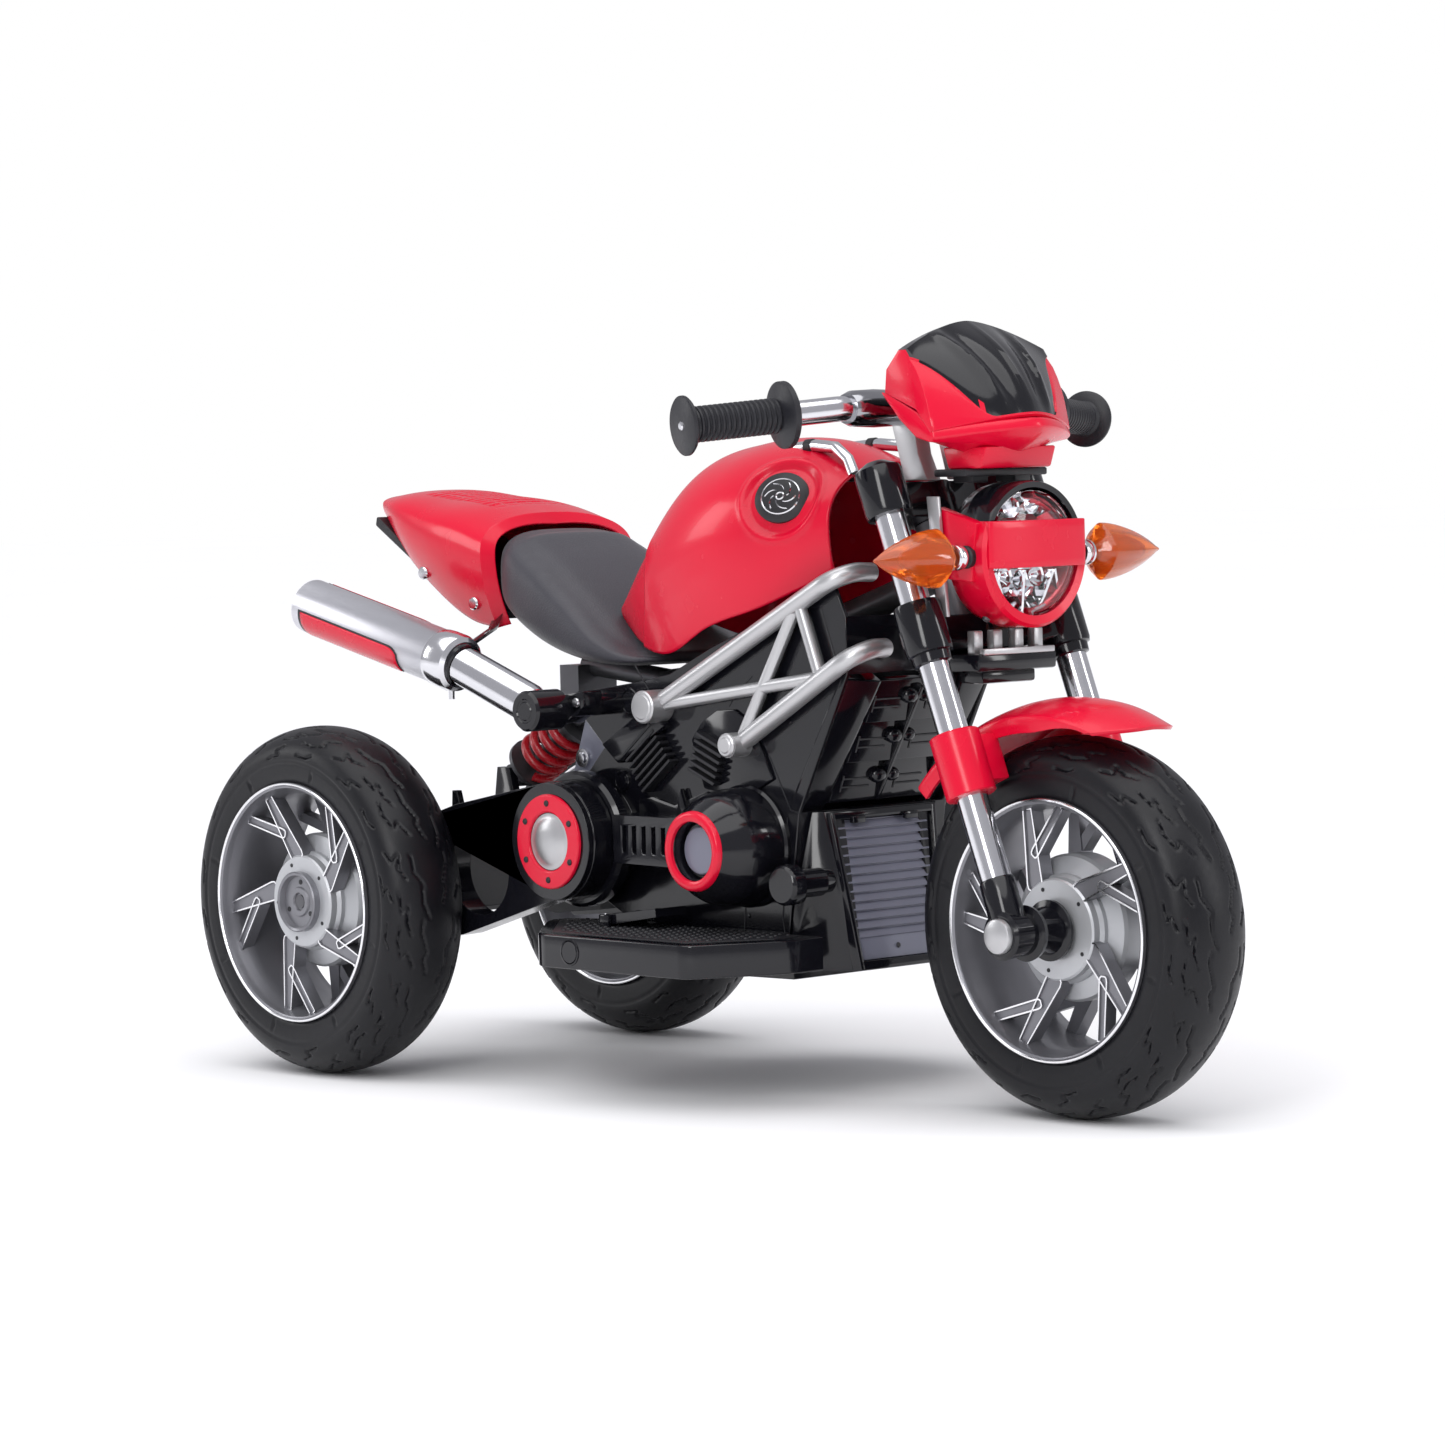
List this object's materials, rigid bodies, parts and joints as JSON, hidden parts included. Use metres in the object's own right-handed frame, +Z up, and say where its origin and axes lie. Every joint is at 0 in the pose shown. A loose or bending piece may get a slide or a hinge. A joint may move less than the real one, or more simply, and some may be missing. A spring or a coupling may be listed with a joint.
{
  "type": "ride-on electric trike, motorcycle style",
  "caption": "Child's ride-on electric motorcycle with one steered front wheel, two driven rear wheels, tank, seat, lamp and sprung rear axle.",
  "frame": {"origin": "on the floor, half way between the axles, in the middle of the track", "axes": "+X forward, +Y to the rider's left, +Z up"},
  "size_m": [1.02, 0.4664, 0.62],
  "materials": {
    "red_gloss": "moulded glossy crimson plastic",
    "black_gloss": "moulded glossy black plastic",
    "dark_matt": "moulded matt black plastic",
    "seat_vinyl": "soft dark grey vinyl over foam with a fine grain",
    "chrome": "polished plated tube",
    "silver_satin": "satin silver paint",
    "rim_silver": "silver grey cast rim with a machined lip",
    "grille_grey": "mid grey slats",
    "tyre_black": "black moulded tyre with sipes",
    "grip_rubber": "ribbed black rubber",
    "amber_clear": "translucent amber plastic",
    "lamp_clear": "clear moulded lens",
    "bright_stem": "plated stub",
    "frame_steel": "black powder-coated steel",
    "spring_red": "red coated spring wire"
  },
  "bodies": {
    "frame": {"backbone_frame": "frame_steel", "pivot_axle": "frame_steel", "battery": "dark_matt", "body_shell_right": "black_gloss", "body_shell_left": "black_gloss", "louvre_panel": "black_gloss", "radiator_housing": "black_gloss", "radiator_grille": "grille_grey", "tank_shell": "red_gloss", "tank_medallions": "dark_matt", "seat_pad": "seat_vinyl", "tail_cowl": "red_gloss", "tail_light": "black_gloss", "trellis_tubes": "silver_satin", "clutch_covers": "black_gloss", "cover_rings": "red_gloss", "cover_discs": "dark_matt", "cylinder_fins": "black_gloss", "belt_guards": "black_gloss", "footrests": "black_gloss", "mufflers": "silver_satin", "muffler_panels": "red_gloss", "exhaust_pipes": "chrome", "exhaust_brackets": "black_gloss"},
    "pedal": {"accelerator_pedal": "dark_matt"},
    "swingarm": {"swingarms": "black_gloss", "arm_rings": "red_gloss", "arm_discs": "silver_satin", "axle_housing": "black_gloss", "drive_units": "dark_matt", "rear_axle": "frame_steel"},
    "shock_upper": {"shock_body": "frame_steel", "shock_spring": "spring_red"},
    "shock_lower": {"shock_rod": "frame_steel"},
    "steering": {"fork_clamps": "black_gloss", "steering_stem": "frame_steel", "fork_tubes": "chrome", "fork_feet": "black_gloss", "front_axle": "silver_satin", "front_fender": "red_gloss", "headlight_case": "black_gloss", "headlight_bowl": "red_gloss", "headlight_reflector": "chrome", "headlight_lens": "lamp_clear", "signal_stems": "bright_stem", "signal_lenses": "amber_clear", "front_cowl": "red_gloss", "wind_screen": "black_gloss", "handlebar": "chrome", "grips": "grip_rubber", "bar_mounts": "silver_satin"},
    "front_wheel": {"front_tyre": "tyre_black", "front_rim": "rim_silver"},
    "rear_wheel_right": {"rear_tyre_right": "tyre_black", "rear_rim_right": "rim_silver", "rear_hub_cap_right": "rim_silver"},
    "rear_wheel_left": {"rear_tyre_left": "tyre_black", "rear_rim_left": "rim_silver", "rear_hub_cap_left": "rim_silver"}
  },
  "joints": [
    {"name": "steering_head", "type": "hinge", "parent": "frame", "child": "steering", "pos_m": [0.22432, 0, 0.42681], "axis": [-0.3567, 0, 0.9342], "range_deg": [-25, 25]},
    {"name": "front_wheel_spin", "type": "hinge", "parent": "steering", "child": "front_wheel", "pos_m": [0.36, 0, 0.15], "axis": [0, 1, 0], "continuous": true},
    {"name": "rear_suspension", "type": "hinge", "parent": "frame", "child": "swingarm", "pos_m": [-0.111, 0, 0.207], "axis": [0, 1, 0], "range_deg": [0, 5], "stiffness_Nm_per_rad": 220, "springref_deg": -11.46},
    {"name": "rear_wheel_right_spin", "type": "hinge", "parent": "swingarm", "child": "rear_wheel_right", "pos_m": [-0.36, -0.18, 0.15], "axis": [0, 1, 0], "continuous": true},
    {"name": "rear_wheel_left_spin", "type": "hinge", "parent": "swingarm", "child": "rear_wheel_left", "pos_m": [-0.36, 0.18, 0.15], "axis": [0, 1, 0], "continuous": true},
    {"name": "shock_swing", "type": "hinge", "parent": "frame", "child": "shock_upper", "pos_m": [-0.218, 0, 0.305], "axis": [0, 1, 0], "range_deg": [-0.5, 8]},
    {"name": "shock_stroke", "type": "slide", "parent": "shock_upper", "child": "shock_lower", "axis": [0.8501, 0, 0.5267], "range_m": [-0.0005, 0.014], "deforming": ["shock_spring"]},
    {"name": "pedal_hinge", "type": "hinge", "parent": "frame", "child": "pedal", "pos_m": [-0.05, 0, 0.144], "axis": [0, 1, 0], "range_deg": [0, 7], "stiffness_Nm_per_rad": 0.6, "springref_deg": -20.05}
  ],
  "couplings": [
    {"joint": "shock_swing", "follows": "rear_suspension", "ratio": 1.42},
    {"joint": "shock_stroke", "follows": "rear_suspension", "m_per_rad": 0.1375}
  ]
}
